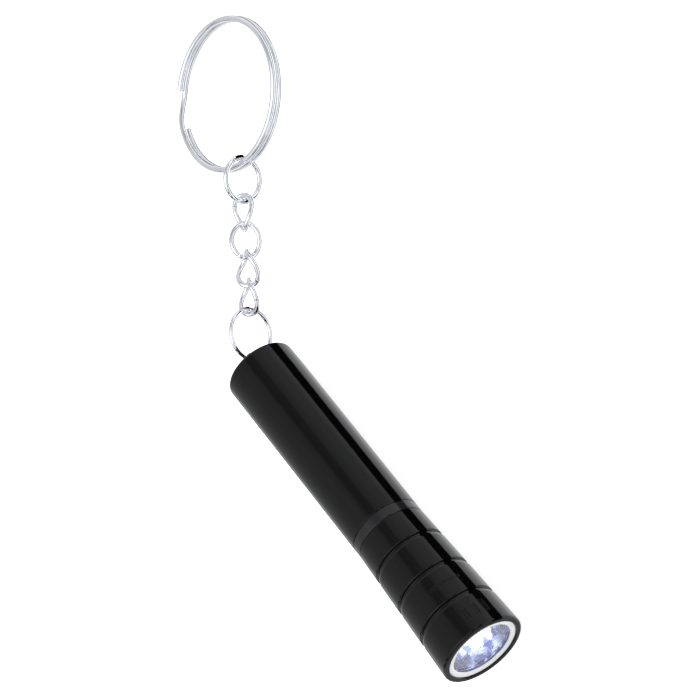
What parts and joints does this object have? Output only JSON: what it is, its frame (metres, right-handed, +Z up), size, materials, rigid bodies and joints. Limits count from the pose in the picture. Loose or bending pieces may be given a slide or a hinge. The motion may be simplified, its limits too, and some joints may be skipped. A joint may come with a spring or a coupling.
{
  "type": "keychain flashlight",
  "caption": "Round keychain flashlight with a flared, grooved head that twists to switch on, a clear lens in a white ring, and a wire chain with a split ring.",
  "frame": {"origin": "centre of the flat front lip of the head, on the torch axis", "axes": "+X along the torch axis, out of the lens; +Z up, away from the surface that the torch lies on; +Y completes the right-handed set"},
  "size_m": [0.1095, 0.0459, 0.0138],
  "materials": {
    "black_enamel": "gloss black enamel on turned aluminium",
    "grey_band": "satin dark grey anodised",
    "white_plastic": "smooth ivory white moulding",
    "clear_plastic": "clear polished",
    "mirror_plastic": "vacuum-metallised bowl",
    "lamp": "clear epoxy lit blue-white",
    "chrome_wire": "bright nickel-chrome plate",
    "steel": "bright",
    "brass_contact": "stamped",
    "black_rubber": "soft matt",
    "sleeve_plastic": "thin rolled film",
    "green_board": "solder-masked glass epoxy",
    "resistor_body": "matt ceramic"
  },
  "bodies": {
    "barrel": {"barrel_shell": "black_enamel", "key_eye": "chrome_wire", "tail_spring": "steel", "spring_plate": "brass_contact", "battery_sleeve": "sleeve_plastic", "cell_1": "steel", "cell_2": "steel", "cell_3": "steel", "cell_4": "steel", "seal_ring": "black_rubber", "band_ring": "grey_band"},
    "head": {"head_shell": "black_enamel", "front_ring": "white_plastic", "lens": "clear_plastic", "reflector": "mirror_plastic", "led": "lamp", "led_leads": "steel", "led_holder": "white_plastic", "circuit_board": "green_board", "resistor": "resistor_body", "centre_contact": "brass_contact", "ground_ring": "brass_contact"},
    "tail_ring": {"tail_ring": "chrome_wire"},
    "chain_link_1": {"chain_link_1": "chrome_wire"},
    "chain_link_2": {"chain_link_2": "chrome_wire"},
    "chain_link_3": {"chain_link_3": "chrome_wire"},
    "chain_link_4": {"chain_link_4": "chrome_wire"},
    "jump_ring": {"jump_ring": "chrome_wire"},
    "split_ring": {"split_ring": "chrome_wire"}
  },
  "joints": [
    {"name": "head_twist", "type": "hinge", "parent": "barrel", "child": "head", "pos_m": [-0.0242, 0, 0], "axis": [1, 0, 0], "range_deg": [0, 120]},
    {"name": "tail_ring_swing", "type": "hinge", "parent": "barrel", "child": "tail_ring", "pos_m": [-0.0639, 0, 0], "axis": [0, 0, -1], "range_deg": [-130, 50]},
    {"name": "link_1_swing", "type": "hinge", "parent": "tail_ring", "child": "chain_link_1", "pos_m": [-0.0694, 0.00462, -0.00074], "axis": [0.7133, 0.6518, -0.2574], "range_deg": [-60, 60]},
    {"name": "link_2_swing", "type": "hinge", "parent": "chain_link_1", "child": "chain_link_2", "pos_m": [-0.07316, 0.00851, -0.0013], "axis": [0.4867, 0.5658, 0.6656], "range_deg": [-60, 55]},
    {"name": "link_3_swing", "type": "hinge", "parent": "chain_link_2", "child": "chain_link_3", "pos_m": [-0.07586, 0.01075, -0.00166], "axis": [0.3661, 0.3077, -0.8783], "range_deg": [-60, 60]},
    {"name": "link_4_swing", "type": "hinge", "parent": "chain_link_3", "child": "chain_link_4", "pos_m": [-0.08007, 0.01415, -0.00222], "axis": [-0.5212, -0.5342, 0.6656], "range_deg": [-60, 60]},
    {"name": "jump_ring_swing", "type": "hinge", "parent": "chain_link_4", "child": "jump_ring", "pos_m": [-0.08263, 0.01653, -0.00259], "axis": [-0.0715, 0.074, 0.9947], "range_deg": [-60, 60]},
    {"name": "split_ring_swing", "type": "hinge", "parent": "jump_ring", "child": "split_ring", "pos_m": [-0.08504, 0.01902, -0.00295], "axis": [0.7193, 0.6947, 0], "range_deg": [-90, 110]}
  ]
}
